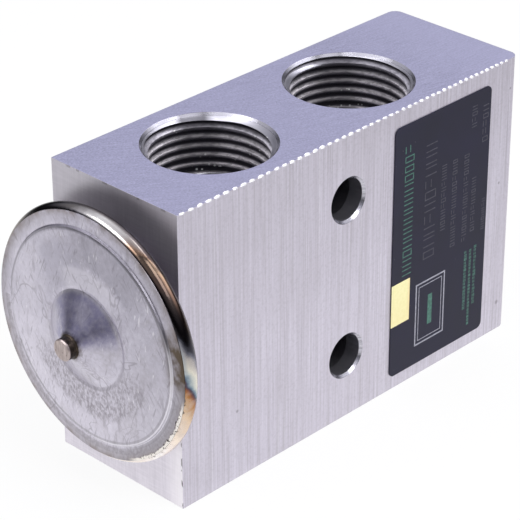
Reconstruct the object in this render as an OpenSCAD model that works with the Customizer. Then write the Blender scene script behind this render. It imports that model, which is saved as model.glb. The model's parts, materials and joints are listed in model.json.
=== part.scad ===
// Block-type thermostatic expansion valve for a refrigeration circuit.
// An aluminium block carries four threaded ports. A welded diaphragm head on one end
// pushes a rod through the block and lifts a ball off its seat against a spring.
//
// Frame: x runs along the valve axis, from the head towards the adjusting screw, and is 0
// at the mounting holes. y is 0 at the middle of the width, and the label faces -y.
// z is 0 on the lower port face. Distances called u run along x from the head end face.

/* [Block] */
// Length of the block, from the head end face to the adjuster end face
body_l = 72; // [70:0.5:84]
// Width of the block, across the faces that the mounting holes open on
body_w = 25; // [24:0.5:32]
// Height of the block, between its two port faces
body_h = 47; // [46:0.5:56]
// Radius of the two upright edges at the adjuster end
corner_r = 1.5; // [0.4:0.1:3]
// Height of the valve axis above the lower port face
axis_h = 25.5; // [24.5:0.5:26.5]

/* [Ports] */
// Distance of the suction ports from the head end face
suction_u = 18.5; // [17.5:0.25:20]
// Distance from the suction port axis to the outlet port axis
port_pitch = 29; // [28.25:0.25:31]
// Thread size of the two suction ports and the outlet port, at the thread root
port_d = 19.05; // [18:0.05:19.5]
// Thread size of the inlet port, at the thread root
inlet_d = 15.875; // [14:0.125:17]
// Depth of the full thread in a port
port_depth = 8.5; // [6:0.5:10]
// Depth of the tap drilling in the suction ports and the inlet port
tap_depth = 13; // [11.5:0.5:14]
// Depth of the tap drilling in the outlet port
outlet_tap_depth = 12; // [11:0.5:12.5]
// Width of the 45 degree chamfer at the mouth of a port
port_chamfer = 0.4; // [0.2:0.05:0.7]
// Diameter of the suction passage through the block
suction_d = 12.5; // [11:0.5:13.5]
// Diameter of the drilling below the outlet port
outlet_drill_d = 7; // [6:0.5:7.5]
// Diameter of the drilling below the inlet port
inlet_drill_d = 7; // [5:0.5:7.5]

/* [Mounting holes] */
// Distance of the mounting holes from the head end face
hole_u = 34; // [33:0.25:34.75]
// Diameter of the mounting holes
hole_d = 6.6; // [5:0.1:7]
// Distance between the mounting holes
hole_pitch = 26; // [24:0.5:29]
// Width of the 45 degree chamfer at the mouths of the mounting holes
hole_chamfer = 0.4; // [0.1:0.05:0.6]

/* [Diaphragm head] */
// Diameter of the head over its welded rim
head_d = 38.8; // [37:0.2:41]
// Distance from the block to the back of the rim
rim_stand_off = 2.7; // [2.4:0.1:3.4]
// Thickness of the covers at the rim
rim_cover_t = 1.15; // [1.1:0.05:1.6]
// Radial width of the weld bead around the rim
weld_w = 0.65; // [0.5:0.05:1.1]
// Height of the flat between the weld bead's two rounded corners
weld_flat_h = 0.2; // [0.1:0.05:0.8]
// Radial width of the flat ring between the weld bead and the stamped step
rim_flat_w = 2.35; // [1:0.05:2.5]
// Thickness of the diaphragm
diaphragm_t = 0.2; // [0.1:0.05:0.3]
// Height that the closed diaphragm bulges at its middle
diaphragm_bulge = 0.4; // [0.3:0.05:0.5]
// Thickness of the upper cover's wall inside the rim
cover_t = 1; // [0.7:0.05:1.1]
// Height of the stamped step on the upper cover
step_h = 0.25; // [0.1:0.05:0.5]
// Rise of the upper cover from the step to the foot of the cone
dome_h = 0.55; // [0.2:0.05:1]
// Diameter of the cone at its foot
cone_d = 14.3; // [13:0.1:17]
// Height of the cone
cone_h = 3; // [1.5:0.1:4]
// Diameter of the charge plug
plug_d = 3.3; // [2.5:0.1:4]
// Length of the charge plug above the cone
plug_l = 1.5; // [1:0.1:3]
// Diameter of the fill hole in the upper cover
fill_d = 1.8; // [1:0.1:2]
// Thread size of the head's neck
neck_d = 18; // [17:0.5:18.5]
// Length of the neck inside the block
neck_l = 7; // [5:0.5:8]
// Diameter of the bore through the neck
neck_bore_d = 12; // [11:0.5:13]
// Diameter of the shoulder that seats on the block
shoulder_d = 24; // [23.8:0.1:24.8]
// Section of the sealing ring under the head
head_ring_section = 1.7; // [1.5:0.05:1.8]

/* [Moving train] */
// Lift of the ball from its seat when the valve is fully open
valve_lift = 0.8; // [0.4:0.1:0.9]
// Diameter of the stop plate under the diaphragm
stop_plate_d = 21; // [19:0.5:22]
// Thickness of the stop plate's disc
stop_plate_t = 1.3; // [1:0.05:1.4]
// Diameter of the stop plate's boss
boss_d = 9; // [8.5:0.25:10]
// Length of the boss below the disc
boss_l = 6.5; // [5:0.25:8]
// Depth of the socket in the boss that takes the sensing rod
boss_socket = 4; // [3:0.25:4.5]
// Diameter of the sensing rod
rod_d = 6; // [5:0.1:6.4]
// Length of rod inside its guide, when the valve is closed
rod_guided = 2.4; // [1.5:0.1:2.8]
// Diameter of the push rod
pin_d = 2; // [1.6:0.1:2.4]
// Depth of the socket in the sensing rod that takes the push rod
pin_socket = 2.5; // [1.5:0.1:4]
// Diameter of the valve ball
ball_d = 4.8; // [4.6:0.1:5.2]
// Diameter of the orifice
orifice_d = 3.2; // [2.4:0.1:3.4]

/* [Spring and adjuster] */
// Diameter of the spring chamber
chamber_d = 13; // [12.6:0.1:13.4]
// Diameter of the spring wire
wire_d = 1; // [0.7:0.05:1.1]
// Mean diameter of the spring
spring_d = 8.8; // [8.4:0.1:9]
// Pitch of the spring's open turns, with the valve closed
spring_pitch = 1.6; // [1.4:0.1:2.4]
// Diameter of the ball holder's flange
holder_d = 9.8; // [9:0.1:10.4]
// Thread size of the adjusting screw
screw_d = 14; // [14:0.1:15]
// Length of the adjusting screw
screw_l = 7; // [6.8:0.1:8.5]
// Depth of the screw below the end face
screw_recess = 0.8; // [0.6:0.1:2]
// Distance that the screw travels each way
screw_travel = 0.5; // [0.2:0.1:0.5]
// Width across the flats of the screw's hexagon socket
hex_af = 5; // [4:0.5:6]
// Depth of the hexagon socket
hex_depth = 3.4; // [2.5:0.1:3.8]

/* [Seals] */
// Section of the sealing ring around the sensing rod
rod_ring_section = 1.5; // [1.3:0.05:1.7]
// Section of the sealing ring on the adjusting screw
screw_ring_section = 1.1; // [0.9:0.05:1.2]
// Thickness of the retainer that holds the rod's sealing ring
retainer_t = 0.4; // [0.3:0.05:0.6]

/* [Label] */
// Width of the label, along the block
label_w = 21.8; // [20:0.2:24]
// Height of the label
label_h = 42; // [38:0.5:44]
// Distance of the label from the adjuster end face
label_margin = 6.4; // [4:0.1:8]
// Height of the label's lower edge above the lower port face
label_z = 2.2; // [1:0.1:2.6]
// Corner radius of the label
label_r = 1; // [0.5:0.1:2]
// Thickness of the label
label_t = 0.15; // [0.1:0.01:0.25]
// Width of the yellow field
field_w = 4.1; // [3:0.1:6]
// Height of the yellow field
field_h = 7.2; // [5:0.1:10]
// Height of the yellow field's lower edge above the label's lower edge
field_z = 8.8; // [6:0.1:14]

/* [Hidden] */
$fn = 96;

// Radial clearance of a sliding rod in its guide
run_clear = 0.05;
// Clearance between pieces that touch
touch = 0.02;
// Radial clearance between an outer and an inner thread
thread_clear = 0.05;
// Radial depth of a port's thread, from its root to the tap drilling
thread_h = 0.85;
// Half of the angle at the tip of a twist drill
drill_half_angle = 59;
// Overshoot of a cutting tool past the face it cuts
over = 0.1;

// Radii of the bores in the block
port_r = port_d / 2;
inlet_r = inlet_d / 2;
suction_r = suction_d / 2;
outlet_drill_r = outlet_drill_d / 2;
inlet_drill_r = inlet_drill_d / 2;
neck_bore_r = neck_bore_d / 2;
neck_r = neck_d / 2 - thread_clear;
chamber_r = chamber_d / 2;
screw_thread_r = screw_d / 2;
guide_r = rod_d / 2 + run_clear;
pin_guide_r = pin_d / 2 + run_clear;

// Sealing ring under the head, in a counterbore around the neck
head_ring_r = neck_d / 2 + touch * 5 + head_ring_section / 2;
head_ring_seat_r = head_ring_r + head_ring_section / 2 + touch * 10;
head_ring_seat_depth = head_ring_section + 2 * touch;
// Depth of the threaded bore that takes the neck
neck_seat_depth = neck_l + 0.5;
// Bore that joins the neck's bore to the suction passage, with room for the rod
vent_r = rod_d / 2 + 2;

// Sealing ring around the sensing rod, behind the suction passage
partition_u = suction_u + suction_r;
rod_ring_r = guide_r + rod_ring_section / 2 + touch;
rod_seat_r = rod_ring_r + rod_ring_section / 2 + 2 * touch;
rod_seat_depth = rod_ring_section + retainer_t + 1.5;
rod_seat_end_u = partition_u + rod_seat_depth;
rod_ring_u = rod_seat_end_u - rod_ring_section / 2 - touch;
retainer_u = rod_ring_u - rod_ring_section / 2 - touch - retainer_t;
retainer_slots = 6;
retainer_slot_w = 0.9;
// The guide ends where the bore narrows for the push rod
guide_l = rod_guided + valve_lift + 0.7;
guide_end_u = rod_seat_end_u + guide_l;

// Seat between the outlet drilling and the spring chamber
outlet_u = suction_u + port_pitch;
seat_wall = 2;
seat_depth = 1.2;
orifice_r = orifice_d / 2;
seat_u = outlet_u + outlet_drill_r + seat_wall;
chamber_u = seat_u + seat_depth;
inlet_lead = 0.3;
inlet_u = chamber_u + inlet_lead + inlet_drill_r;

// The ball touches the 45 degree seat at this radius
ball_r = ball_d / 2;
ball_contact_r = ball_r * cos(45);
ball_u = seat_u + (ball_contact_r - orifice_r) + ball_contact_r + 1.5 * touch;

// Head, measured outwards from the block's end face
weld_in_r = head_d / 2 - weld_w;
cover_rim_r = weld_in_r - touch;
lower_top = rim_stand_off + rim_cover_t;
upper_base = lower_top + diaphragm_t;
rim_front = upper_base + rim_cover_t;
weld_r = (rim_front - rim_stand_off - weld_flat_h) / 2;
step_r = weld_in_r - rim_flat_w;
cone_r = cone_d / 2;
cone_foot = rim_front + step_h + dome_h;
cone_top = cone_foot + cone_h;
plug_r = plug_d / 2;
plug_top = cone_top + plug_l;
fill_r = fill_d / 2;
// Inner edge of the clamped part of the diaphragm
clamp_w = 2.2;
clamp_r = step_r - clamp_w;
shoulder_r = shoulder_d / 2;
cavity_floor = rim_stand_off - 0.9;

// Stop plate, measured as the head is
stop_plate_r = stop_plate_d / 2;
stop_plate_top = lower_top + diaphragm_bulge - touch;
stop_plate_base = stop_plate_top - stop_plate_t;
boss_r = boss_d / 2;
boss_end = stop_plate_base - boss_l;
rod_head_u = -(boss_end + boss_socket) + touch;
rod_end_u = rod_seat_end_u + rod_guided;
pin_start_u = rod_end_u - pin_socket + touch;
pin_end_u = ball_u - ball_r - touch;

// Ball holder, spring and adjusting screw
holder_nose_u = ball_u + 0.7;
holder_nose_r = ball_r + 0.7;
holder_flange_u = ball_u + 1.6;
holder_flange_t = 1.2;
holder_r = holder_d / 2;
stem_r = (spring_d - wire_d) / 2 - 0.4;
stem_l = 3.2;
damping_u = holder_flange_u + holder_flange_t + touch;
damping_t = 0.25;
finger_gap = 0.12;
finger_l = 3.4;
fingers = 4;
finger_angle = 44;
spring_start_u = damping_u + damping_t + touch;
screw_end_u = body_l - screw_recess;
screw_start_u = screw_end_u - screw_l;
screw_cup_depth = 1;
spring_end_u = screw_start_u + screw_cup_depth - touch;
// Turns that lie against each other at each end of the spring, and its turns in all
closed_turns = 0.8;
spring_rise = spring_end_u - spring_start_u - wire_d;
spring_turns = 2 * closed_turns + (spring_rise - 2 * closed_turns * wire_d) / spring_pitch;
screw_land_r = chamber_r - 2 * touch;
screw_ring_r = chamber_r - touch - screw_ring_section / 2;
screw_groove_r = screw_ring_r - screw_ring_section / 2 - touch;
screw_groove_w = screw_ring_section + 0.2;
screw_groove_u = screw_start_u + screw_cup_depth + 0.4;
screw_ring_u = screw_groove_u + screw_groove_w / 2;
// The threaded bore starts where the sealing ring stops at its outer limit
thread_start_u = screw_groove_u + screw_groove_w + screw_travel + 0.1;
screw_thread_u = thread_start_u + screw_travel + 0.1;
screw_chamfer = 0.4;

// Places u on the valve axis, with the local z axis pointing away from the head
module on_axis(u = 0) translate([u - hole_u, 0, axis_h]) rotate([0, 90, 0]) children();

// Measures outwards from the block's end face, with the local z axis pointing out of the head
module on_head() translate([-hole_u, 0, axis_h]) rotate([0, -90, 0]) children();

// A disc or tube of one outline, each point [radius, height]
module turned(outline) rotate_extrude() polygon(outline);

// A plain ring of round section, centred on the origin
module sealing_ring(r, section) rotate_extrude() translate([r, 0]) circle(d = section, $fn = 48);

// A rectangle with its right-hand corners rounded, centred on y = 0
module block_outline() {
    start_x = -hole_u;
    end_x = body_l - hole_u;
    translate([start_x, -body_w / 2]) square([body_l - corner_r, body_w]);
    translate([end_x - 2 * corner_r, corner_r - body_w / 2]) square([2 * corner_r, body_w - 2 * corner_r]);
    for (side = [-1, 1])
        translate([end_x - corner_r, side * (body_w / 2 - corner_r)]) circle(r = corner_r, $fn = 48);
}

// Tool for a threaded port: the mouth at z = 0, cutting down through the thread and the tap
// drilling to a drilled passage
module port_tool(r, tap_end, drill_r, drill_depth) {
    tap_r = r - thread_h;
    tip_h = (tap_r - drill_r) / tan(drill_half_angle);
    turned([
        [0, over], [r + port_chamfer + over, over], [r, -port_chamfer], [r, -port_depth],
        [tap_r, -port_depth - thread_h], [tap_r, -tap_end], [drill_r, -tap_end - tip_h],
        [drill_r, -drill_depth], [0, -drill_depth - drill_r / tan(drill_half_angle)]
    ]);
}

// Tool for a mounting hole through the width of the block
module mounting_hole_tool() {
    r = hole_d / 2;
    mouth = hole_chamfer + over;
    half_w = body_w / 2;
    rotate([90, 0, 0]) turned([
        [0, -half_w - over], [r + mouth, -half_w - over], [r, hole_chamfer - half_w],
        [r, half_w - hole_chamfer], [r + mouth, half_w + over], [0, half_w + over]
    ]);
}

// Tool for the bores along the valve axis, from the head to the partition
module head_bore_tool() {
    turned([
        [0, -over], [head_ring_seat_r, -over], [head_ring_seat_r, head_ring_seat_depth],
        [neck_d / 2, head_ring_seat_depth], [neck_d / 2, neck_seat_depth],
        [vent_r, neck_seat_depth], [vent_r, suction_u], [0, suction_u]
    ]);
}

// Tool for the rod's seal, its guide, the push rod's guide and the orifice
module rod_bore_tool() {
    turned([
        [0, suction_u], [rod_seat_r, suction_u], [rod_seat_r, rod_seat_end_u],
        [guide_r, rod_seat_end_u], [guide_r, guide_end_u], [pin_guide_r, guide_end_u],
        [pin_guide_r, outlet_u], [orifice_r, outlet_u], [orifice_r, seat_u], [0, seat_u]
    ]);
}

// Tool for the seat, the spring chamber and the adjusting screw's thread
module chamber_tool() {
    mouth = screw_chamfer + over;
    turned([
        [0, seat_u - over], [orifice_r, seat_u - over], [orifice_r, seat_u],
        [orifice_r + seat_depth, chamber_u], [chamber_r, chamber_u], [chamber_r, thread_start_u],
        [screw_thread_r, thread_start_u], [screw_thread_r, body_l - screw_chamfer],
        [screw_thread_r + mouth, body_l + over], [0, body_l + over]
    ]);
}

module valve_body() {
    color([0.76, 0.75, 0.79]) difference() {
        linear_extrude(body_h) block_outline();
        // Suction ports, one above the other, and the passage between them
        translate([suction_u - hole_u, 0, body_h])
            port_tool(port_r, tap_depth, suction_r, body_h / 2);
        translate([suction_u - hole_u, 0, 0])
            mirror([0, 0, 1]) port_tool(port_r, tap_depth, suction_r, body_h / 2);
        // Outlet port, which meets the valve axis before the seat
        translate([outlet_u - hole_u, 0, body_h])
            port_tool(port_r, outlet_tap_depth, outlet_drill_r, body_h - axis_h + orifice_r);
        // Inlet port, which meets the spring chamber
        translate([inlet_u - hole_u, 0, 0]) mirror([0, 0, 1])
            port_tool(inlet_r, tap_depth, inlet_drill_r, axis_h - chamber_r + inlet_drill_r / 2);
        for (side = [-1, 1])
            translate([0, 0, body_h / 2 + side * hole_pitch / 2]) mounting_hole_tool();
        on_axis() head_bore_tool();
        on_axis() rod_bore_tool();
        on_axis() chamber_tool();
    }
}

// Stamped upper cover: a flat rim, a step, a shallow dome and a cone with the fill hole
module upper_cover() {
    groove_depth = 0.12;
    groove_w = 0.7;
    slope = 0.15;
    color([0.78, 0.76, 0.79]) on_head() turned([
        [cover_rim_r, upper_base], [cover_rim_r, rim_front], [step_r + slope, rim_front],
        [step_r, rim_front + step_h], [cone_r + groove_w, cone_foot],
        [cone_r + groove_w / 3, cone_foot - groove_depth], [cone_r, cone_foot],
        [plug_r + slope, cone_top], [fill_r, cone_top], [fill_r, cone_top - cover_t],
        [plug_r, cone_top - cover_t], [cone_r, cone_foot - cover_t],
        [clamp_r, rim_front + step_h - cover_t], [clamp_r, upper_base]
    ]);
}

// Lower cover: the clamping rim, the dish for the stop plate and the threaded neck
module lower_cover() {
    wall = 1.1;
    // The dish's foot lies near the middle, between the shoulder and the clamped rim
    dish_lead = 0.75;
    dish_r = (shoulder_r + clamp_r) / 2 - dish_lead;
    color([0.62, 0.61, 0.63]) on_head() turned([
        [cover_rim_r, rim_stand_off], [cover_rim_r, lower_top], [clamp_r, lower_top],
        [dish_r, cavity_floor], [neck_bore_r, cavity_floor], [neck_bore_r, -neck_l],
        [neck_r - 0.6, -neck_l], [neck_r, 0.6 - neck_l], [neck_r, 0], [shoulder_r, 0],
        [shoulder_r, cavity_floor - wall], [clamp_r + 0.2, rim_stand_off]
    ]);
}

// Weld bead that closes the rim over both covers and the diaphragm's edge
module rim_weld() {
    height = rim_front - rim_stand_off;
    centre_r = head_d / 2 - weld_r;
    color([0.72, 0.60, 0.42]) on_head() rotate_extrude() translate([0, rim_stand_off]) intersection() {
        translate([weld_in_r, 0]) square([weld_w, height]);
        union() {
            translate([centre_r - weld_r, 0]) square([weld_r, height]);
            translate([centre_r - weld_r, weld_r]) square([2 * weld_r, height - 2 * weld_r]);
            for (h = [weld_r, height - weld_r]) translate([centre_r, h]) circle(r = weld_r, $fn = 48);
        }
    }
}

// Height of the diaphragm's underside above its clamped rim, at radius r
function diaphragm_rise(r) =
    let (inner = stop_plate_r + 0.3, share = (clamp_r - r) / (clamp_r - inner))
    r <= inner ? diaphragm_bulge
        : diaphragm_bulge * (share * share * (3 - 2 * share) + 0.14 * sin(720 * share));

// Thin corrugated diaphragm, clamped between the covers and bulging at its middle
module diaphragm() {
    steps = 32;
    inner = stop_plate_r + 0.3;
    radii = [for (i = [0 : steps]) clamp_r + (inner - clamp_r) * i / steps];
    under = [for (r = radii) [r, lower_top + diaphragm_rise(r)]];
    over_side = [for (i = [steps : -1 : 0]) [under[i][0], under[i][1] + diaphragm_t]];
    color([0.80, 0.78, 0.72]) on_head() turned(concat(
        [[cover_rim_r, lower_top]], under, [[0, lower_top + diaphragm_bulge]],
        [[0, lower_top + diaphragm_bulge + diaphragm_t]], over_side, [[cover_rim_r, upper_base]]
    ));
}

// Plug that closes the fill hole, with a weld fillet at its foot and a stub in the hole
module charge_plug() {
    edge = 0.15;
    fillet = 0.22;
    color([0.70, 0.62, 0.55]) on_head() turned([
        [0, cone_top - cover_t], [fill_r - touch, cone_top - cover_t], [fill_r - touch, cone_top],
        [plug_r + fillet, cone_top], [plug_r, cone_top + fillet], [plug_r, plug_top - edge],
        [plug_r - edge, plug_top], [0, plug_top]
    ]);
}

// Disc that takes the diaphragm's push, with a boss that holds the sensing rod
module stop_plate() {
    edge = 0.4;
    socket_r = rod_d / 2 + touch;
    color([0.72, 0.72, 0.74]) on_head() turned([
        [0, stop_plate_top], [stop_plate_r - edge, stop_plate_top], [stop_plate_r, stop_plate_top - edge],
        [stop_plate_r, stop_plate_base], [boss_r, stop_plate_base], [boss_r, boss_end + edge],
        [boss_r - edge, boss_end], [socket_r, boss_end], [socket_r, boss_end + boss_socket],
        [0, boss_end + boss_socket]
    ]);
}

module head_sealing_ring() {
    color([0.10, 0.13, 0.11]) on_axis(head_ring_seat_depth / 2) sealing_ring(head_ring_r, head_ring_section);
}

// Thick rod that crosses the suction passage and takes up its temperature
module sensing_rod() {
    edge = 0.3;
    r = rod_d / 2;
    socket_r = pin_d / 2 + touch;
    color([0.80, 0.80, 0.82]) on_axis() turned([
        [0, rod_head_u], [r - edge, rod_head_u], [r, rod_head_u + edge], [r, rod_end_u - edge],
        [r - edge, rod_end_u], [socket_r, rod_end_u], [socket_r, rod_end_u - pin_socket],
        [0, rod_end_u - pin_socket]
    ]);
}

module rod_sealing_ring() {
    color([0.10, 0.13, 0.11]) on_axis(rod_ring_u) sealing_ring(rod_ring_r, rod_ring_section);
}

// Slotted washer that is pushed into the rod's seal bore
module ring_retainer() {
    inner_r = rod_d / 2 + 4 * run_clear;
    outer_r = rod_seat_r - touch;
    color([0.66, 0.64, 0.60]) on_axis(retainer_u) difference() {
        cylinder(r = outer_r, h = retainer_t);
        translate([0, 0, -over]) cylinder(r = inner_r, h = retainer_t + 2 * over);
        for (i = [0 : retainer_slots - 1])
            rotate(i * 360 / retainer_slots)
                translate([outer_r - retainer_slot_w, -retainer_slot_w / 2, -over])
                    cube([retainer_slot_w + over, retainer_slot_w, retainer_t + 2 * over]);
    }
}

// Thin rod from the sensing rod to the ball
module push_rod() {
    edge = 0.2;
    r = pin_d / 2;
    color([0.70, 0.70, 0.72]) on_axis() turned([
        [0, pin_start_u], [r - edge, pin_start_u], [r, pin_start_u + edge],
        [r, pin_end_u - edge], [r - edge, pin_end_u], [0, pin_end_u]
    ]);
}

module valve_ball() {
    color([0.82, 0.82, 0.84]) on_axis(ball_u) sphere(r = ball_r);
}

// Cup that carries the ball, with a flange for the spring and a stem inside it
module ball_holder() {
    edge = 0.4;
    flange_end_u = holder_flange_u + holder_flange_t;
    color([0.78, 0.66, 0.40]) difference() {
        on_axis() turned([
            [0, holder_nose_u], [holder_nose_r - edge, holder_nose_u], [holder_nose_r, holder_nose_u + edge],
            [holder_nose_r, holder_flange_u], [holder_r, holder_flange_u], [holder_r, flange_end_u],
            [stem_r, flange_end_u], [stem_r, flange_end_u + stem_l - edge],
            [stem_r - edge, flange_end_u + stem_l], [0, flange_end_u + stem_l]
        ]);
        on_axis(ball_u) sphere(r = ball_r + touch);
    }
}

// Washer under the spring, with fingers that rub on the chamber's wall
module damping_ring() {
    finger_r = chamber_r - finger_gap;
    bend_r = holder_r + damping_t;
    color([0.72, 0.70, 0.66]) on_axis(damping_u) {
        difference() {
            cylinder(r = bend_r, h = damping_t);
            translate([0, 0, -over]) cylinder(r = stem_r + touch, h = damping_t + 2 * over);
        }
        for (i = [0 : fingers - 1])
            rotate([0, 0, i * 360 / fingers + (90 - finger_angle) / 2])
                rotate_extrude(angle = finger_angle) polygon([
                    [bend_r - damping_t, 0], [bend_r, 0], [finger_r, finger_l * 0.45],
                    [finger_r - 0.5, finger_l], [finger_r - 0.5 - damping_t, finger_l],
                    [finger_r - damping_t, finger_l * 0.45], [bend_r - damping_t, damping_t]
                ]);
    }
}

// Rise of the spring after t turns: closed at both ends, open between
function spring_height(t) =
    t < closed_turns ? t * wire_d
        : t > spring_turns - closed_turns ? spring_rise - (spring_turns - t) * wire_d
        : closed_turns * wire_d + (t - closed_turns) * spring_pitch;

// Coil spring swept as one polyhedron, ring by ring along its helix
module superheat_spring() {
    sides = 8;
    rings_per_turn = 24;
    rings = round(spring_turns * rings_per_turn);
    wire_r = wire_d / 2;
    points = [for (i = [0 : rings], k = [0 : sides - 1])
        let (t = spring_turns * i / rings, a = 360 * t, b = 360 * k / sides,
            r = spring_d / 2 + wire_r * cos(b))
        [r * cos(a), r * sin(a), wire_r + spring_height(t) + wire_r * sin(b)]];
    wall = [for (i = [0 : rings - 1], k = [0 : sides - 1])
        let (n = (k + 1) % sides)
        [i * sides + k, (i + 1) * sides + k, (i + 1) * sides + n, i * sides + n]];
    first = [for (k = [0 : sides - 1]) k];
    last = [for (k = [sides - 1 : -1 : 0]) rings * sides + k];
    color([0.66, 0.66, 0.68]) on_axis(spring_start_u) polyhedron(concat(points), concat(wall, [first], [last]));
}

// Screw that sets the spring's load, with a cup for the spring, a seal groove and a hexagon socket
module adjusting_screw() {
    edge = 0.4;
    cup_r = (spring_d + wire_d) / 2 + 0.2;
    thread_r = screw_thread_r - thread_clear;
    color([0.80, 0.68, 0.42]) on_axis() difference() {
        turned([
            [0, screw_start_u + screw_cup_depth], [cup_r, screw_start_u + screw_cup_depth],
            [cup_r, screw_start_u], [screw_land_r, screw_start_u], [screw_land_r, screw_groove_u],
            [screw_groove_r, screw_groove_u], [screw_groove_r, screw_groove_u + screw_groove_w],
            [screw_land_r, screw_groove_u + screw_groove_w], [screw_land_r, screw_thread_u],
            [thread_r, screw_thread_u], [thread_r, screw_end_u - edge],
            [thread_r - edge, screw_end_u], [0, screw_end_u]
        ]);
        translate([0, 0, screw_end_u - hex_depth])
            cylinder(r = hex_af / 2 / cos(30), h = hex_depth + over, $fn = 6);
    }
}

module screw_sealing_ring() {
    color([0.10, 0.13, 0.11]) on_axis(screw_ring_u) sealing_ring(screw_ring_r, screw_ring_section);
}

// Lays a flat outline on the label's face of the block, t thick, starting at depth y
module on_label_face(y, t) translate([body_l - hole_u - label_margin - label_w, y, label_z])
    rotate([90, 0, 0]) linear_extrude(t) children();

module label() {
    color([0.17, 0.17, 0.22]) on_label_face(-body_w / 2, label_t) {
        translate([label_r, 0]) square([label_w - 2 * label_r, label_h]);
        translate([0, label_r]) square([label_w, label_h - 2 * label_r]);
        for (x = [label_r, label_w - label_r], z = [label_r, label_h - label_r])
            translate([x, z]) circle(r = label_r, $fn = 48);
    }
}

module label_yellow_field() {
    ink_t = 0.05;
    color([0.96, 0.84, 0.45]) on_label_face(-body_w / 2 - label_t, ink_t)
        translate([0, field_z]) square([field_w, field_h]);
}

valve_body();
upper_cover();
lower_cover();
rim_weld();
diaphragm();
charge_plug();
stop_plate();
head_sealing_ring();
sensing_rod();
rod_sealing_ring();
ring_retainer();
push_rod();
valve_ball();
ball_holder();
damping_ring();
superheat_spring();
adjusting_screw();
screw_sealing_ring();
label();
label_yellow_field();
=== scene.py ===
import json
import math
import random

import bmesh
import bpy
from mathutils import Matrix, Vector


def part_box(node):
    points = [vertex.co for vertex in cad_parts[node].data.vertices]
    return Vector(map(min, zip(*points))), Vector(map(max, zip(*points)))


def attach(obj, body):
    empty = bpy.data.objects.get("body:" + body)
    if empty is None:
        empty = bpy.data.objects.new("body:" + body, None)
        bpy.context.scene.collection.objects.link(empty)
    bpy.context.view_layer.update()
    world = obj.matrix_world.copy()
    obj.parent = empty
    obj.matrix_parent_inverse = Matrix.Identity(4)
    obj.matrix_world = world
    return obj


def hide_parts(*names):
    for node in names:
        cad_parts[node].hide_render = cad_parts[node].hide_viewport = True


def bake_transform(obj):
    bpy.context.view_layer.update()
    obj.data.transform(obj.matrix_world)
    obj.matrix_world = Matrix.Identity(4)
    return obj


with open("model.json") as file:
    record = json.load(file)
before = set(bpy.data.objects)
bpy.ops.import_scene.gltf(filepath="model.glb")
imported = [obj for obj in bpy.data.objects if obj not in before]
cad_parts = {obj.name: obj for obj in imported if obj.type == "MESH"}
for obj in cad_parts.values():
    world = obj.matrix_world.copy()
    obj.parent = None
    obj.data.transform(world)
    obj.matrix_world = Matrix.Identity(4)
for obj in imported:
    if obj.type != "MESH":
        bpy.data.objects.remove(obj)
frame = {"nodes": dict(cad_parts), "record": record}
cad = frame["nodes"]
mounts = {m["name"]: m for m in frame["record"]["mounts"]}
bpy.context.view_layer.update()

# Everything below is in metres, in the part's own frame.
MM = 0.001
BLOCK_LOW, BLOCK_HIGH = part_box("valve_body")
MIDDLE = (BLOCK_LOW + BLOCK_HIGH) / 2
HALF_SIZE = (BLOCK_HIGH - BLOCK_LOW) / 2
FRONT_Y = BLOCK_LOW.y
TOP_Z = BLOCK_HIGH.z
RIM_LOW, RIM_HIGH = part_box("rim_weld")
AXIS_Z = (RIM_LOW.z + RIM_HIGH.z) / 2
PORT_CHAMFER = 0.4 * MM
# points closer than this are one point, and edges that turn by more than this stay sharp
SAME_PLACE = 1e-7
SHARP_TURN = math.radians(35)
# the pitch measured between the thread's highlights in the photograph
THREAD_PITCH = 1.475 * MM

# The camera, fitted to the block's edges in the photograph; angles in degrees, lens in millimetres.
CAMERA_PLACE = (-0.2278, -0.21628, 0.1961)
CAMERA_AZIMUTH = -45.798
CAMERA_ELEVATION = 29.008
CAMERA_ROLL = -0.173
CAMERA_LENS = 166.505


def set_camera():
    data = bpy.data.cameras.new("camera")
    data.sensor_width = 36
    data.lens = CAMERA_LENS
    data.clip_start = 0.01
    data.clip_end = 20
    camera = bpy.data.objects.new("camera", data)
    bpy.context.scene.collection.objects.link(camera)
    turn = (Matrix.Rotation(math.radians(CAMERA_AZIMUTH), 4, "Z")
            @ Matrix.Rotation(math.radians(90 - CAMERA_ELEVATION), 4, "X")
            @ Matrix.Rotation(math.radians(CAMERA_ROLL), 4, "Z"))
    camera.matrix_world = Matrix.Translation(CAMERA_PLACE) @ turn
    bpy.context.scene.camera = camera


# Materials

def rgba(colour):
    if isinstance(colour, tuple) and len(colour) == 3:
        return colour + (1.0,)
    return colour


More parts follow.
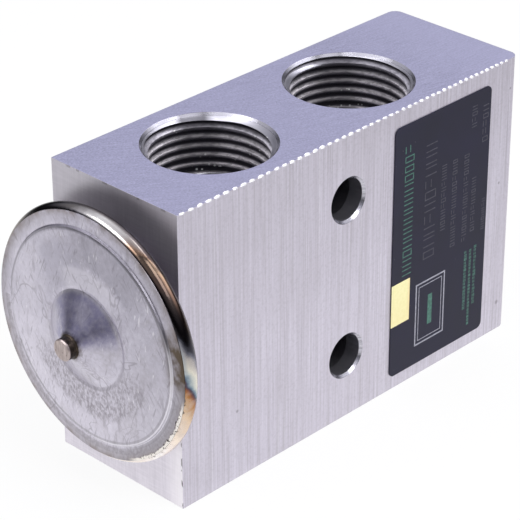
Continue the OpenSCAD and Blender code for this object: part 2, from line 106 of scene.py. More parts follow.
class Nodes:
    """Adds nodes to one tree by short calls. Values are numbers or sockets."""

    def __init__(self, tree):
        self.tree = tree
        tree.nodes.clear()

    def put(self, socket, value):
        if isinstance(value, bpy.types.NodeSocket):
            self.tree.links.new(value, socket)
        elif value is not None:
            socket.default_value = value

    def node(self, kind, *values, named=(), **settings):
        """A new node. values go to its first inputs, and named holds (input, value) pairs."""
        node = self.tree.nodes.new("ShaderNode" + kind)
        for setting, value in settings.items():
            setattr(node, setting, value)
        for socket, value in zip(node.inputs, values):
            self.put(socket, value)
        for name, value in named:
            self.put(node.inputs[name], value)
        return node

    def math(self, operation, *values, clamp=False):
        return self.node("Math", *values, operation=operation, use_clamp=clamp).outputs[0]

    def chain(self, operation, first, *others):
        for other in others:
            first = self.math(operation, first, other)
        return first

    def times(self, *values):
        return self.chain("MULTIPLY", *values)

    def plus(self, *values):
        return self.chain("ADD", *values)

    def most(self, *values):
        return self.chain("MAXIMUM", *values)

    def minus(self, a, b):
        return self.math("SUBTRACT", a, b)

    def size(self, value):
        """The value without its sign."""
        return self.math("ABSOLUTE", value)

    def above(self, value, limit):
        return self.math("GREATER_THAN", value, limit)

    def below(self, value, limit):
        return self.math("LESS_THAN", value, limit)

    def reach(self, a, b):
        """Distance of the point (a, b) from the origin."""
        return self.math("SQRT", self.plus(self.times(a, a), self.times(b, b)))

    def turn(self, a, b):
        """Share of a full turn, from -0.5 to 0.5, from the direction of b towards that of a."""
        return self.math("DIVIDE", self.math("ARCTAN2", a, b), 2 * math.pi)

    def split(self, vector):
        return self.node("SeparateXYZ", vector).outputs[:]

    def join(self, x, y, z):
        return self.node("CombineXYZ", x, y, z).outputs[0]

    def fit(self, value, low, high, to_low=0.0, to_high=1.0, smooth=False):
        kind = "SMOOTHSTEP" if smooth else "LINEAR"
        return self.node("MapRange", value, low, high, to_low, to_high, interpolation_type=kind).outputs[0]

    def band(self, value, centre, half, soft):
        """1 where value lies within half of centre, fading out over soft."""
        away = self.size(self.minus(value, centre))
        return self.fit(away, half, half + soft, 1.0, 0.0, smooth=True)

    def ramp(self, value, stops):
        """stops: (position, colour) pairs in rising order."""
        node = self.node("ValToRGB", value)
        elements = node.color_ramp.elements
        while len(elements) < len(stops):
            elements.new(0.5)
        for element, (position, colour) in zip(elements, stops):
            element.position = position
            element.color = rgba(colour)
        return node.outputs[0]

    def paint(self, colour, tint, *shares):
        """colour with tint laid over it, by the product of shares."""
        node = self.node("Mix", self.times(*shares), data_type="RGBA")
        self.put(node.inputs[6], rgba(colour))
        self.put(node.inputs[7], rgba(tint))
        return node.outputs[2]

    def white_to_eye(self, other, share):
        """A shader that is white to the camera by share, and other to all other light."""
        white = self.node("Emission", named=[("Strength", 1.0)]).outputs[0]
        seen = self.times(self.node("LightPath").outputs["Is Camera Ray"], share)
        return self.node("MixShader", seen, other, white).outputs[0]


class Surface(Nodes):
    """The nodes of one procedural material."""

    def __init__(self, name):
        self.material = bpy.data.materials.new(name)
        self.material.use_nodes = True
        super().__init__(self.material.node_tree)
        coordinates = self.node("TexCoord")
        self.place = coordinates.outputs["Object"]
        self.normal = coordinates.outputs["Normal"]

    def scaled(self, scale, place):
        """The place and the scale for a texture whose scale is one number or one for each axis."""
        place = place or self.place
        if isinstance(scale, tuple):
            return self.node("VectorMath", place, scale, operation="MULTIPLY").outputs[0], 1.0
        return place, scale

    def noise(self, scale, detail=2.0, rough=0.5, place=None, warp=0.0):
        """Noise from 0 to 1. scale is features per metre."""
        place, scale = self.scaled(scale, place)
        return self.node("TexNoise", named=[
            ("Vector", place), ("Scale", scale), ("Detail", detail), ("Roughness", rough),
            ("Distortion", warp)]).outputs["Fac"]

    def cells(self, scale):
        """Distance from the nearest of many scattered points, in cells."""
        place, scale = self.scaled(scale, None)
        return self.node("TexVoronoi", named=[("Vector", place), ("Scale", scale)]).outputs["Distance"]

    def dots(self, scale, small, large):
        """Small dots, one in each cell."""
        return self.fit(self.cells(scale), small, large, 1.0, 0.0)

    def bump(self, height, depth, strength=1.0, onto=None):
        """height from 0 to 1 stands for depth in metres."""
        return self.node("Bump", named=[
            ("Strength", strength), ("Distance", depth), ("Height", height), ("Normal", onto)]).outputs[0]

    def rounded(self, radius):
        """Normal with the sharp edges rounded off by radius."""
        return self.node("Bevel", radius, samples=6).outputs[0]

    def spots(self, across, up, places):
        """1 inside any of the small round spots (across, up, radius), else 0."""
        away = [(self.reach(self.minus(across, a), self.minus(up, b)), radius) for a, b, radius in places]
        return self.most(*(self.fit(gap, radius * 0.6, radius * 1.3, 1.0, 0.0) for gap, radius in away))

    def done(self, colour, metal, rough, normal=None, **more):
        shader = self.node("BsdfPrincipled", named=[
            ("Base Color", rgba(colour)), ("Metallic", metal), ("Roughness", rough), ("Normal", normal)])
        for name, value in more.items():
            self.put(shader.inputs[name.replace("_", " ")], value)
        self.node("OutputMaterial", shader.outputs[0])
        return self.material


# In the functions below, s is the surface that is being made.

# Colours of the ports' chamfers: bright, and the painted shade that darkens parts of them.
CHAMFER_BRIGHT = (0.76, 0.75, 0.84)
CHAMFER_PAINTED_SHADE = (0.05, 0.048, 0.06)


def chamfer_painted_shade(s, off_x, off_y):
    """How much painted shade a port's chamfer gets: most in the middle of its far side, some on its near
    side.
    """
    turn = s.turn(off_y, off_x)
    middle = s.times(s.band(turn, 0.168, 0.026, 0.035), 0.90)
    return s.most(middle, s.fit(s.size(s.minus(turn, 0.170)), 0.10, 0.155, 0.0, 0.55))


def extruded_side(s, x, z, cloud, grit):
    """Fine streaks that run up the side, with a few long bright and dark lines and small specks.

    Returns the colour, the streaks and the specks.
    """
    fine = s.noise((4200, 4200, 60), 2, 0.6)
    broad = s.noise((700, 700, 14), 3, 0.6)
    streak = s.plus(s.times(fine, 0.66), s.times(broad, 0.14), s.times(grit, 0.20))
    colour = s.ramp(streak, [
        (0.36, (0.575, 0.543, 0.612)), (0.5, (0.665, 0.63, 0.722)), (0.64, (0.745, 0.71, 0.81))])
    bright_line = s.fit(s.noise((2300, 2300, 22), 1), 0.68, 0.76)
    colour = s.paint(colour, (0.86, 0.84, 0.91), bright_line, 0.40)
    elsewhere = s.node("VectorMath", s.place, (0.3, 0.2, 0.1), operation="ADD").outputs[0]
    dark_line = s.fit(s.noise((1900, 1900, 34), 1, 0.5, elsewhere), 0.70, 0.78)
    colour = s.paint(colour, (0.33, 0.30, 0.35), dark_line, 0.30)
    colour = s.paint(colour, (0.60, 0.565, 0.62), s.fit(cloud, 0.35, 0.70, 0.0, 0.25))
    mottle = s.fit(s.noise(1900, 3, 0.6), 0.50, 0.64, 0.0, 0.22)
    colour = s.paint(colour, (0.46, 0.43, 0.49), mottle)
    specks = s.times(s.dots((300, 300, 210), 0.035, 0.075), s.fit(s.noise(140, 1), 0.55, 0.62))
    marks = s.spots(x, z, [(35.5 * MM, 4.9 * MM, 0.35 * MM), (-23.0 * MM, 11.3 * MM, 0.25 * MM),
                           (34.6 * MM, 26.5 * MM, 0.22 * MM), (36.3 * MM, 42.0 * MM, 0.18 * MM)])
    specks = s.most(specks, marks)
    return s.paint(colour, (0.22, 0.20, 0.23), specks, 0.55), fine, specks


def milled_face(s, x, y, cloud, grit):
    """Faint arcs of the face mill, pits, and painted light towards the far end. Returns the colour and the
    arcs.
    """
    mill_x, mill_y = 40 * MM, 95 * MM
    from_mill = s.reach(s.minus(x, mill_x), s.minus(y, mill_y))
    arcs = s.noise(1.0, 2, 0.6, s.join(s.times(from_mill, 3600), s.times(x, 260), 0.0))
    weave = s.plus(s.times(arcs, 0.35), s.times(grit, 0.65))
    colour = s.ramp(weave, [
        (0.34, (0.35, 0.35, 0.495)), (0.5, (0.462, 0.458, 0.638)), (0.66, (0.58, 0.575, 0.775))])
    colour = s.paint(colour, (0.495, 0.49, 0.675), s.fit(cloud, 0.35, 0.70, 0.0, 0.30))
    # painted light: lighter towards the far end
    painted_light_far_end = s.fit(x, 20 * MM, 34 * MM, 0.0, 0.40)
    colour = s.paint(colour, (0.585, 0.58, 0.79), painted_light_far_end)
    pits = s.times(s.dots(560, 0.05, 0.11), s.fit(s.noise(230, 1), 0.56, 0.63))
    return s.paint(colour, (0.20, 0.19, 0.26), pits, 0.40), weave


def sawn_end(s, y, z):
    """A faint weave of lines both ways, with painted shade towards the top and painted light low down by the
    front edge, and with nicks and smears at its edges.

    Returns the colour and the weave.
    """
    upright = s.times(s.noise((600, 3400, 260), 2, 0.6), 0.35)
    level = s.times(s.noise((600, 260, 3400), 2, 0.6), 0.35)
    weave = s.plus(s.times(s.noise((600, 1300, 160), 3, 0.6), 0.30), s.plus(upright, level))
    colour = s.ramp(weave, [(0.36, (0.69, 0.655, 0.725)), (0.64, (0.825, 0.785, 0.86))])
    # painted shade towards the top
    colour = s.paint(colour, (0.40, 0.39, 0.43), s.fit(z, 28 * MM, 44 * MM, 0.0, 0.38, smooth=True))
    lower_half = s.fit(z, 4 * MM, 26 * MM, 1.0, 0.0)
    # painted light on the lower half, beside the front edge
    front_painted_light = s.fit(y, FRONT_Y + 0.8 * MM, FRONT_Y + 3.5 * MM, 0.6, 0.0)
    colour = s.paint(colour, (1.0, 0.965, 1.0), front_painted_light, lower_half)
    front_edge = s.band(y, FRONT_Y + 0.10 * MM, 0.09 * MM, 0.10 * MM)
    smear = s.times(s.fit(s.noise((1500, 1500, 900), 3), 0.53, 0.58), lower_half, front_edge)
    nick = s.times(s.fit(s.noise((10, 700, 10), 2), 0.56, 0.62), s.band(z, TOP_Z, 0.2 * MM, 0.25 * MM))
    return s.paint(colour, (0.07, 0.06, 0.07), s.most(s.times(smear, 0.85), s.times(nick, 0.4))), weave


def turned_bore(s, x, y, half_z):
    """Rings along the bores, bright chamfers at the ports' mouths with painted shade on parts of them, and
    painted shade in the ports further in.
    """
    # depth of the zone with the chamfers, and how far a port reaches along x and y
    mouth_zone, reach_x, reach_y = 1.6 * MM, 12 * MM, 9.6 * MM
    colour = s.ramp(s.noise((60, 60, 3000), 2), [(0.3, (0.42, 0.41, 0.46)), (0.7, (0.60, 0.59, 0.65))])
    chamfer = CHAMFER_BRIGHT
    for name in ("suction_port_top", "outlet_port"):
        off_x = s.minus(x, mounts[name]["pos_m"][0])
        near = s.below(s.size(off_x), reach_x)
        chamfer = s.paint(chamfer, CHAMFER_PAINTED_SHADE, chamfer_painted_shade(s, off_x, y), near)
    colour = s.paint(colour, chamfer, s.above(half_z, HALF_SIZE.z - mouth_zone))
    # painted shade deep in the ports
    deep = s.fit(half_z, HALF_SIZE.z - 6 * MM, HALF_SIZE.z - 8 * MM)
    in_port = s.below(s.size(y), reach_y)
    return s.paint(colour, (0.07, 0.068, 0.08), deep, in_port, 0.75)


def block_metal():
    """Aluminium: extruded sides, milled port faces, sawn ends and turned bores."""
    s = Surface("block_aluminium")
    x, y, z = s.split(s.place)
    halves = [s.size(s.minus(value, middle)) for value, middle in zip((x, y, z), MIDDLE)]
    half_x, half_y, half_z = halves
    facing, skin = 0.95, 0.05 * MM
    on_end, on_side, on_port_face = (
        s.times(s.above(s.size(normal), facing), s.above(half, size - skin))
        for normal, half, size in zip(s.split(s.normal), halves, HALF_SIZE))
    # the rounded upright edges are part of the extruded sides
    edge_reach = 1.1 * MM
    corner = s.times(s.above(half_y, HALF_SIZE.y - edge_reach), s.above(half_x, HALF_SIZE.x - edge_reach),
                     s.minus(1.0, s.most(on_end, on_port_face)))
    on_side = s.most(on_side, corner)

    cloud = s.noise(70, 3)
    grit = s.noise(3600, 3, 0.6)
    side, fine, specks = extruded_side(s, x, z, cloud, grit)
    face, face_weave = milled_face(s, x, y, cloud, grit)
    end, end_weave = sawn_end(s, y, z)
    colour = s.paint(turned_bore(s, x, y, half_z), side, on_side)
    colour = s.paint(colour, face, on_port_face)
    colour = s.paint(colour, end, on_end)

    grain = s.plus(s.times(on_side, fine), s.times(on_port_face, face_weave, 0.9),
                   s.times(on_end, end_weave, 0.7))
    grain = s.minus(grain, s.times(specks, on_side))
    flat = s.most(on_side, on_port_face, on_end)
    rough = s.times(s.fit(flat, 0.0, 1.0, 0.24, 0.42), s.fit(cloud, 0.3, 0.7, 0.92, 1.08))
    return s.done(colour, 0.9, rough, s.bump(grain, 0.010 * MM, 0.5, s.rounded(0.12 * MM)))


def thread_metal(port_x, root, mouth_z, way, phase):
    """Painted highlights on the upper flanks and painted shade in the grooves, by the place in the pitch and
    the depth below the mouth.
    """
    s = Surface("thread_aluminium")
    x, y, z = s.split(s.place)
    off_x = s.minus(x, port_x)
    radius = s.reach(off_x, y)
    depth = s.size(s.minus(z, mouth_z))
    turns = s.plus(s.math("DIVIDE", depth, THREAD_PITCH), s.turn(s.times(y, way), off_x), phase + 1.0)
    pitch_share = s.math("FRACT", turns)
    # painted highlight on the upper flanks and painted shade in the grooves, by the place in the pitch
    colour = s.ramp(pitch_share, [
        (0.0, (0.035, 0.033, 0.042)), (0.15, (0.045, 0.042, 0.053)), (0.27, (0.34, 0.325, 0.37)),
        (0.36, (0.78, 0.75, 0.81)), (0.46, (0.72, 0.69, 0.75)), (0.62, (0.20, 0.19, 0.23)),
        (0.75, (0.035, 0.033, 0.042))])
    crest = s.band(pitch_share, 0.42, 0.08, 0.13)
    chatter = s.fit(s.noise((500, 500, 1500), 3), 0.35, 0.7)
    colour = s.paint(colour, (0.80, 0.78, 0.84), chatter, crest, 0.20)
    # painted light: the deep crests get little light, so their colour is lighter; painted shade makes the
    # first crest's darker
    colour = s.paint(colour, (1.0, 0.95, 1.0), s.fit(depth, 2.0 * MM, 3.4 * MM, 0.0, 0.9), crest)
    colour = s.paint(colour, (0.30, 0.29, 0.34), s.fit(depth, 1.4 * MM, 2.4 * MM, 1.0, 0.0), crest, 0.55)
    torn = s.fit(s.noise((900, 900, 4200), 3, 0.6), 0.46, 0.60, 0.0, 0.42)
    colour = s.paint(colour, (0.07, 0.066, 0.08), torn)
    # painted shade on the far side of the port
    far_side_painted_shade = s.band(s.turn(y, off_x), 0.155, 0.022, 0.075)
    colour = s.paint(colour, (0.030, 0.028, 0.036), far_side_painted_shade, 0.62)
    # the mouth's chamfer runs on over the first crest
    off_cone = s.minus(s.plus(depth, radius), root + PORT_CHAMFER)
    inside = s.math("DIVIDE", s.minus(root, radius), 0.8 * MM)
    on_cone = s.times(s.band(off_cone, 0.0, 0.03 * MM, 0.03 * MM), s.fit(inside, 0.0, 0.03))
    colour = s.paint(colour, s.paint(CHAMFER_BRIGHT, CHAMFER_PAINTED_SHADE, chamfer_painted_shade(s, off_x, y)), on_cone)
    # painted glints on small nicks along the crests' edges
    edge = s.band(radius, root - 0.70 * MM, 0.07 * MM, 0.05 * MM)
    nick = s.times(s.dots(1300, 0.16, 0.28), s.fit(s.noise(170, 1), 0.48, 0.58))
    colour = s.paint(colour, (1.0, 1.0, 1.0), nick, edge)
    return s.done(colour, 0.80, s.fit(crest, 0.0, 1.0, 0.45, 0.34), s.bump(s.noise(2400, 2), 0.004 * MM, 0.4))


def around_head(s, y, z):
    """Radius from the head's axis, and the turn around it: 0.5 towards the front, 0.75 at the top."""
    up = s.minus(z, AXIS_Z)
    to_front = s.times(y, -1.0)
    return s.reach(to_front, up), s.plus(s.turn(up, to_front), 0.5)


# For the head, radius and turn come from around_head, and blots and fine are coarse and fine noise.

def head_ground(s, y, z, radius, turn, blots, fine):
    """Mottled grey with painted light low down and towards the back, painted shade towards the front, darker
    clouds higher up that are partly painted shade, and patches around the cone.
    """
    colour = s.ramp(s.plus(s.times(blots, 0.5), s.times(fine, 0.5)), [
        (0.34, (0.45, 0.425, 0.48)), (0.50, (0.59, 0.563, 0.655)), (0.64, (0.71, 0.685, 0.78))])
    # painted light: lighter low down
    low_painted_light = s.fit(z, AXIS_Z - 12 * MM, AXIS_Z + 8 * MM, 0.38, 0.0, smooth=True)
    colour = s.paint(colour, (0.765, 0.73, 0.81), low_painted_light)
    # painted shade towards the front and painted light towards the back
    colour = s.paint(colour, (0.33, 0.318, 0.36), s.fit(y, -12 * MM, -3 * MM, 0.26, 0.0))
    colour = s.paint(colour, (0.82, 0.785, 0.88), s.fit(y, 3 * MM, 12 * MM, 0.0, 0.42))
    # darker clouds that fade in higher up: partly mottling and partly painted shade
    cloud = s.times(s.fit(s.noise(95, 2, 0.5, warp=0.6), 0.42, 0.60),
                    s.fit(z, AXIS_Z - 4 * MM, AXIS_Z + 9 * MM))
    colour = s.paint(colour, (0.39, 0.375, 0.455), cloud, 0.45)
    dark_patch = s.times(s.band(turn, 0.70, 0.055, 0.05), s.band(radius, 13.6 * MM, 1.9 * MM, 0.8 * MM))
    colour = s.paint(colour, (0.34, 0.325, 0.385), dark_patch, s.fit(blots, 0.35, 0.6, 0.30, 0.62))
    cone_foot = s.times(s.band(turn, 0.73, 0.07, 0.05), s.band(radius, 8.9 * MM, 1.3 * MM, 0.9 * MM))
    colour = s.paint(colour, (0.80, 0.77, 0.85), cone_foot, 0.45)
    low_zone = s.times(s.band(turn, 0.27, 0.15, 0.08), s.band(radius, 10.1 * MM, 1.7 * MM, 1.4 * MM))
    speckle = s.fit(s.noise((2600, 2600, 1500), 3, 0.6), 0.44, 0.60, 0.16, 0.80)
    return s.paint(colour, (0.33, 0.305, 0.345), low_zone, speckle)


def head_scratches(s, y, z):
    """Short scratches two ways."""
    lines = []
    for angle, shift in ((0.35, 0.0), (-0.55, 0.7)):
        cos, sin = math.cos(angle), math.sin(angle)
        across = s.plus(s.times(y, cos), s.times(z, sin))
        along = s.minus(s.times(z, cos), s.times(y, sin))
        place = s.join(s.plus(s.times(across, 3000), shift), s.times(along, 330), shift)
        lines.append(s.fit(s.noise(1.0, 2, 0.5, place, warp=0.4), 0.62, 0.70))
    return s.most(*lines)


def head_marks(s, colour, scratch):
    """Scratches, smears, thin tide marks and small painted glints."""
    smear = s.times(s.fit(s.noise((300, 900, 260), 3, 0.6), 0.56, 0.66), s.fit(s.noise(60, 1), 0.42, 0.58))
    tide = s.times(s.band(s.noise(115, 3, 0.55, warp=0.5), 0.47, 0.003, 0.008),
                   s.fit(s.noise(50, 1), 0.42, 0.56, 0.0, 0.40))
    colour = s.paint(colour, (0.22, 0.20, 0.23), s.most(s.times(scratch, 0.42), s.times(smear, 0.34), tide))
    glint = s.fit(s.noise((900, 2600, 500), 2, 0.5), 0.66, 0.72)
    return s.paint(colour, (0.90, 0.88, 0.93), glint, 0.5)


def head_ring(s, colour, radius, turn, fine):
    """The flat ring beside the bead: duller and browner, with a stain, painted light and shade on the step,
    and spilt bead metal.
    """
    ring = s.fit(radius, 16.8 * MM, 18.5 * MM)
    shade = s.fit(s.size(s.minus(turn, 0.42)), 0.03, 0.16, 0.85, 0.55, smooth=True)
    shade = s.minus(shade, s.times(s.band(turn, 0.76, 0.06, 0.05), 0.30))
    colour = s.paint(colour, (0.27, 0.245, 0.26), ring, shade)
    dull = s.times(s.band(radius, 17.4 * MM, 0.30 * MM, 0.35 * MM), s.band(turn, 0.22, 0.24, 0.03))
    colour = s.paint(colour, (0.25, 0.23, 0.25), dull, s.fit(fine, 0.35, 0.65, 0.60, 0.25))
    burnt = s.times(s.fit(radius, 17.7 * MM, 18.7 * MM), s.fit(s.noise(520, 3), 0.42, 0.62))
    colour = s.paint(colour, (0.20, 0.15, 0.11), burnt, 0.5)
    stain = s.times(s.band(turn, 0.525, 0.022, 0.03), s.fit(radius, 14.8 * MM, 17.2 * MM, smooth=True),
                    s.fit(s.noise(560, 3), 0.36, 0.54, 0.50, 1.0))
    colour = s.paint(colour, (0.095, 0.068, 0.042), stain, 0.95)
    # painted shade keeps the step from shining on the side of the lamps, and paints a shaded foot higher up
    step_painted_shade = s.times(s.band(radius, 16.25 * MM, 0.30 * MM, 0.20 * MM), s.band(turn, 0.59, 0.07, 0.03))
    colour = s.paint(colour, (0.25, 0.238, 0.265), step_painted_shade, 0.60)
    foot = s.times(s.band(radius, 16.35 * MM, 0.15 * MM, 0.18 * MM), s.band(turn, 0.80, 0.16, 0.06))
    colour = s.paint(colour, (0.20, 0.19, 0.22), foot, 0.45)
    # painted light: lower down the step catches the light between two lines of painted shade
    outer_shade_line = s.times(s.band(radius, 16.9 * MM, 0.16 * MM, 0.18 * MM), s.fit(turn, 0.30, 0.37))
    lines = s.most(s.band(radius, 16.0 * MM, 0.10 * MM, 0.16 * MM), outer_shade_line)
    colour = s.paint(colour, (0.25, 0.235, 0.26), lines, s.band(turn, 0.27, 0.19, 0.04), 0.42)
    step_painted_highlight = s.times(s.band(radius, 16.42 * MM, 0.12 * MM, 0.15 * MM), s.band(turn, 0.40, 0.12, 0.05))
    colour = s.paint(colour, (0.90, 0.88, 0.94), step_painted_highlight, 0.60)
    # bead metal that ran over the ring's lower edge, with pits
    uneven = s.plus(radius, s.times(s.noise(700, 3), 0.7 * MM))
    spill = s.times(s.fit(uneven, 18.62 * MM, 18.78 * MM), s.band(turn, 0.395, 0.065, 0.02))
    colour = s.paint(colour, (0.92, 0.87, 0.82), spill)
    pits = s.times(s.fit(s.noise(2400, 2), 0.56, 0.62), s.band(uneven, 18.75 * MM, 0.22 * MM, 0.1 * MM))
    return s.paint(colour, (0.05, 0.04, 0.035), pits, s.band(turn, 0.40, 0.05, 0.03))


def head_cone(s, colour, radius, turn, fine):
    """A dark painted reflection over the cone's upper half, with a lighter painted highlight in it and
    painted shade beside the plug, and soot around the plug.
    """
    # painted reflection: a dark sector over the cone's upper half, lightened along a narrow painted highlight
    tint = s.times(s.band(turn, 0.722, 0.135, 0.085), s.fit(radius, 6.7 * MM, 7.15 * MM, 1.0, 0.0))
    ridge = s.times(s.band(turn, 0.722, 0.015, 0.05), s.band(radius, 4.9 * MM, 0.8 * MM, 1.2 * MM))
    tint = s.math("SUBTRACT", tint, s.times(ridge, 0.55), clamp=True)
    # painted shade beside the plug, towards the back
    inner = s.times(s.band(turn, 0.965, 0.045, 0.04), s.fit(radius, 2.8 * MM, 5.2 * MM, 1.0, 0.0))
    colour = s.paint(colour, (0.34, 0.322, 0.49), s.most(tint, inner), s.fit(fine, 0.36, 0.62, 1.0, 0.50))
    ragged = s.plus(radius, s.times(s.noise(1500, 2), 0.9 * MM))
    return s.paint(colour, (0.07, 0.05, 0.035), s.fit(ragged, 2.15 * MM, 2.85 * MM, 0.85, 0.0))


def head_metal():
    """Pickled stainless steel: mottled grey, lightly scratched, stained beside the weld's end."""
    s = Surface("head_steel")
    x, y, z = s.split(s.place)
    radius, turn = around_head(s, y, z)
    blots = s.noise(210, 4, 0.62, warp=0.8)
    fine = s.noise(1500, 4, 0.7)
    scratch = head_scratches(s, y, z)
    colour = head_ground(s, y, z, radius, turn, blots, fine)
    colour = head_marks(s, colour, scratch)
    colour = head_ring(s, colour, radius, turn, fine)
    colour = head_cone(s, colour, radius, turn, fine)
    # painted shade: the back of the head is darker
    back = s.fit(x, RIM_LOW.x + 1.6 * MM, RIM_LOW.x + 2.2 * MM, 0.0, 0.75)
    colour = s.paint(colour, (0.16, 0.145, 0.16), back)
    # painted shade in the groove around the cone's foot, over the lower half
    groove = s.times(s.band(radius, 7.6 * MM, 0.25 * MM, 0.2 * MM), s.fit(turn, 0.46, 0.56, 0.20, 0.0))
    colour = s.paint(colour, (0.25, 0.23, 0.25), groove)
    # the pressed step around the disc, as a soft slope
    slope = s.fit(radius, 15.75 * MM, 16.65 * MM, 1.0, 0.0, smooth=True)
    step = s.bump(slope, 0.16 * MM, 1.0, s.rounded(0.10 * MM))
    grain = s.plus(s.times(fine, 0.7), s.times(scratch, -0.6))
    return s.done(colour, 0.95, s.fit(blots, 0.3, 0.7, 0.28, 0.42), s.bump(grain, 0.014 * MM, 0.6, step))


def weld_metal():
    """Bright weld bead with the tint that the heat left, which changes around the rim, together with painted
    reflections and shade: a dark top, white and orange highlights, a light lower part, and darker back and
    inner edges.
    """
    s = Surface("weld_steel")
    x, y, z = s.split(s.place)
    radius, turn = around_head(s, y, z)
    back = s.minus(x, RIM_LOW.x)
    wobble = s.times(s.minus(s.noise(420, 3), 0.5), 0.034)
    # the colours' edges run aslant across the bead
    slant = s.times(s.minus(back, 0.9 * MM), 18.8)
    turn = s.plus(turn, wobble, slant)
    # the heat's tint around the rim, together with painted reflections: a light lower part, a dark top, and
    # white and orange highlights
    lower = s.ramp(turn, [
        (0.00, (0.085, 0.070, 0.065)), (0.06, (0.12, 0.10, 0.095)), (0.12, (0.18, 0.155, 0.145)),
        (0.17, (0.44, 0.39, 0.37)), (0.22, (0.74, 0.67, 0.64)), (0.32, (0.92, 0.82, 0.77)),
        (0.347, (1.0, 0.94, 0.92)), (0.365, (0.98, 0.94, 0.93)), (0.385, (0.96, 0.84, 0.76)),
        (0.403, (0.95, 0.81, 0.68)), (0.42, (0.80, 0.67, 0.57)), (0.444, (0.76, 0.57, 0.40)),
        (0.458, (0.58, 0.40, 0.26)), (0.472, (0.44, 0.21, 0.08)), (0.481, (0.26, 0.10, 0.06)),
        (0.488, (0.07, 0.06, 0.09)), (0.494, (0.18, 0.26, 0.34)), (0.503, (0.56, 0.59, 0.57)),
        (0.514, (0.78, 0.74, 0.64)), (0.527, (0.56, 0.52, 0.50)), (0.538, (0.22, 0.22, 0.27)),
        (0.549, (0.07, 0.07, 0.09)), (0.58, (0.06, 0.045, 0.04))])
    upper = s.ramp(turn, [
        (0.58, (0.06, 0.045, 0.04)), (0.60, (0.20, 0.13, 0.10)), (0.615, (0.52, 0.32, 0.23)),
        (0.642, (0.94, 0.64, 0.43)), (0.656, (0.60, 0.37, 0.24)), (0.668, (0.42, 0.34, 0.31)),
        (0.69, (0.74, 0.70, 0.69)), (0.725, (0.84, 0.82, 0.81)), (0.745, (0.42, 0.40, 0.41)),
        (0.77, (0.12, 0.11, 0.11)), (0.84, (0.07, 0.065, 0.07)), (0.87, (0.30, 0.27, 0.25)),
        (0.95, (0.24, 0.20, 0.17)), (1.00, (0.085, 0.070, 0.065))])
    tint = s.paint(lower, upper, s.above(turn, 0.58))
    # painted shade on the back of the bead beside its highlights, and on its inner half beside the orange
    # highlight
    behind_painted_shade = s.fit(back, 0.88 * MM, 1.30 * MM)
    tint = s.paint(tint, (0.14, 0.117, 0.112), behind_painted_shade, s.band(turn, 0.712, 0.058, 0.02), 0.84)
    rear_painted_shade = s.fit(back, 1.45 * MM, 1.80 * MM)
    tint = s.paint(tint, (0.09, 0.07, 0.065), rear_painted_shade, s.band(turn, 0.68, 0.08, 0.03), 0.85)
    ahead_painted_shade = s.minus(1.0, behind_painted_shade)
    tint = s.paint(tint, (0.03, 0.025, 0.025), ahead_painted_shade, s.band(turn, 0.605, 0.045, 0.02), 0.92)
    # blue fringe on the front of the light patch
    fringe = s.fit(back, 0.10 * MM, 0.40 * MM, 0.45, 0.0)
    tint = s.paint(tint, (0.16, 0.24, 0.34), fringe, s.band(turn, 0.517, 0.008, 0.014))
    blots = s.fit(s.noise(900, 3), 0.45, 0.65)
    tint = s.paint(tint, (0.66, 0.56, 0.50), blots, s.band(turn, 0.40, 0.07, 0.03), 0.35)
    # painted shade: a dark line where the bead meets the cover, over the upper half
    line = s.times(s.fit(radius, 18.78 * MM, 18.95 * MM, 1.0, 0.0), s.band(turn, 0.71, 0.13, 0.03))
    tint = s.paint(tint, (0.035, 0.03, 0.035), line, 0.9)
    specks = s.times(s.fit(s.noise(2400, 2), 0.57, 0.63), s.band(turn, 0.40, 0.05, 0.03),
                     s.fit(radius, 18.82 * MM, 19.0 * MM, 1.0, 0.0))
    tint = s.paint(tint, (0.08, 0.06, 0.05), specks, 0.85)
    ripple = s.noise(1.0, 2, 0.5, s.join(s.times(turn, 150), s.times(radius, 900), s.times(x, 900)))
    rough = s.fit(s.noise(300, 3), 0.3, 0.7, 0.10, 0.24)
    return s.done(tint, 1.0, rough, s.bump(ripple, 0.03 * MM, 0.45))


def plug_metal():
    """Dark oxide on the plug's side, with a cut, coppery tip."""
    s = Surface("plug_steel")
    tip_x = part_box("charge_plug")[0].x
    tip = s.fit(s.split(s.place)[0], tip_x + 0.12 * MM, tip_x + 0.35 * MM, 1.0, 0.0)
    side = s.ramp(s.noise(1500, 3), [(0.35, (0.018, 0.015, 0.013)), (0.7, (0.085, 0.065, 0.05))])
    cut = s.ramp(s.noise((900, 2200, 500), 3), [(0.3, (0.33, 0.27, 0.26)), (0.7, (0.62, 0.53, 0.51))])
    cut = s.paint(cut, (0.16, 0.11, 0.10), s.dots(1300, 0.1, 0.2), 0.5)
    return s.done(s.paint(side, cut, tip), 0.9, s.fit(tip, 0.0, 1.0, 0.42, 0.34),
                  s.bump(s.noise(1600, 3), 0.05 * MM, 0.6))


def tooled(s, marks, blots, stops, rough_low, rough_high):
    """Bare turned metal: tool marks and blots in two tones. Returns colour, roughness and bump."""
    colour = s.ramp(s.plus(s.times(marks, 0.6), s.times(blots, 0.4)), stops)
    return colour, s.fit(blots, 0.3, 0.7, rough_low, rough_high), s.bump(marks, 0.006 * MM, 0.5)


def turned_metal(name, dark, light, rough):
    """Plain turned metal with tool marks across its axis."""
    s = Surface(name)
    marks, blots = s.noise((2600, 70, 70), 2), s.noise(500, 3)
    colour, rough, bump = tooled(s, marks, blots, [(0.3, dark), (0.7, light)], rough - 0.05, rough + 0.07)
    return s.done(colour, 1.0, rough, bump)


